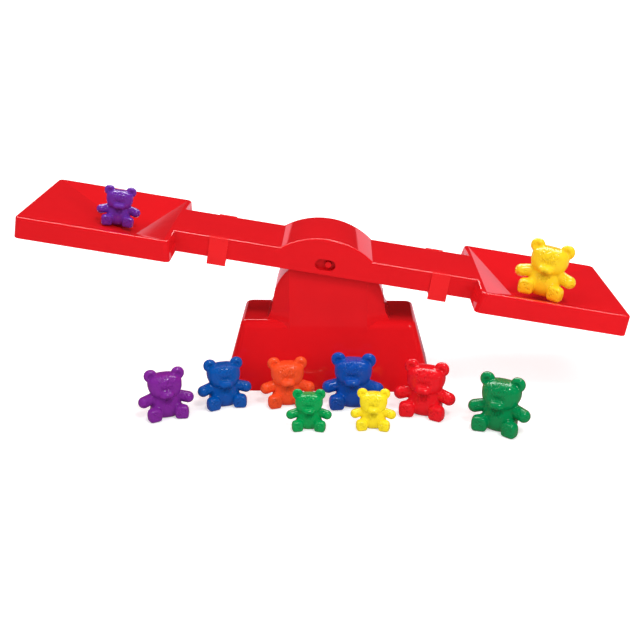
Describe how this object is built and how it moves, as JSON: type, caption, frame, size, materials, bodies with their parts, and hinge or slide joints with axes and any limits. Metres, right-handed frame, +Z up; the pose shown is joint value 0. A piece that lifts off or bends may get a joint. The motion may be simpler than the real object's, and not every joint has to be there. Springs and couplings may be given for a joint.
{
  "type": "toy beam balance with bear counters",
  "caption": "Classroom seesaw balance in moulded plastic: a beam with a pan at each end tilts on a hollow foot, with sliding riders to zero it and bear counters as weights.",
  "frame": {"origin": "middle of the foot's flat underside, on the table", "axes": "+X along the beam towards the lower pan, +Y to the back, away from the row of bears, +Z up"},
  "size_m": [0.397, 0.1648, 0.1383],
  "materials": {
    "red_plastic": "glossy injection-moulded polystyrene",
    "rider_plastic": "glossy injection-moulded plastic",
    "bear_purple": "glossy moulded plastic",
    "bear_blue": "glossy moulded plastic",
    "bear_orange": "glossy moulded plastic",
    "bear_green": "glossy moulded plastic",
    "bear_yellow": "glossy moulded plastic",
    "bear_red": "glossy moulded plastic"
  },
  "bodies": {
    "foot": {"base_shell": "red_plastic", "retaining_pin": "red_plastic"},
    "beam": {"balance_beam": "red_plastic"},
    "left_rider": {"rider_left": "rider_plastic"},
    "right_rider": {"rider_right": "rider_plastic"},
    "purple_small": {"bear_purple_small": "bear_purple"},
    "yellow_large": {"bear_yellow_large": "bear_yellow"},
    "purple_medium": {"bear_purple_medium": "bear_purple"},
    "blue_medium": {"bear_blue_medium": "bear_blue"},
    "orange_medium": {"bear_orange_medium": "bear_orange"},
    "green_small": {"bear_green_small": "bear_green"},
    "blue_large": {"bear_blue_large": "bear_blue"},
    "yellow_small": {"bear_yellow_small": "bear_yellow"},
    "red_large": {"bear_red_large": "bear_red"},
    "green_large": {"bear_green_large": "bear_green"}
  },
  "joints": [
    {"name": "beam_tilt", "type": "hinge", "parent": "foot", "child": "beam", "pos_m": [0, 0, 0.1], "axis": [0, 1, 0], "range_deg": [-18.5, 0]},
    {"name": "rider_left_slide", "type": "slide", "parent": "beam", "child": "left_rider", "axis": [0.987, 0, -0.1607], "range_m": [-0.02, 0.024]},
    {"name": "rider_right_slide", "type": "slide", "parent": "beam", "child": "right_rider", "axis": [0.987, 0, -0.1607], "range_m": [-0.03, 0.0145]},
    {"name": "purple_small_lift", "type": "slide", "parent": "beam", "child": "purple_small", "axis": [0.1607, 0, 0.987], "range_m": [0, 0.05]},
    {"name": "yellow_large_lift", "type": "slide", "parent": "beam", "child": "yellow_large", "axis": [0.1607, 0, 0.987], "range_m": [0, 0.05]},
    {"name": "purple_medium_lift", "type": "slide", "parent": "foot", "child": "purple_medium", "axis": [0, 0, 1], "range_m": [0, 0.06]},
    {"name": "blue_medium_lift", "type": "slide", "parent": "foot", "child": "blue_medium", "axis": [0, 0, 1], "range_m": [0, 0.06]},
    {"name": "orange_medium_lift", "type": "slide", "parent": "foot", "child": "orange_medium", "axis": [0, 0, 1], "range_m": [0, 0.06]},
    {"name": "green_small_lift", "type": "slide", "parent": "foot", "child": "green_small", "axis": [0, 0, 1], "range_m": [0, 0.06]},
    {"name": "blue_large_lift", "type": "slide", "parent": "foot", "child": "blue_large", "axis": [0, 0, 1], "range_m": [0, 0.06]},
    {"name": "yellow_small_lift", "type": "slide", "parent": "foot", "child": "yellow_small", "axis": [0, 0, 1], "range_m": [0, 0.06]},
    {"name": "red_large_lift", "type": "slide", "parent": "foot", "child": "red_large", "axis": [0, 0, 1], "range_m": [0, 0.06]},
    {"name": "green_large_lift", "type": "slide", "parent": "foot", "child": "green_large", "axis": [0, 0, 1], "range_m": [0, 0.06]}
  ]
}
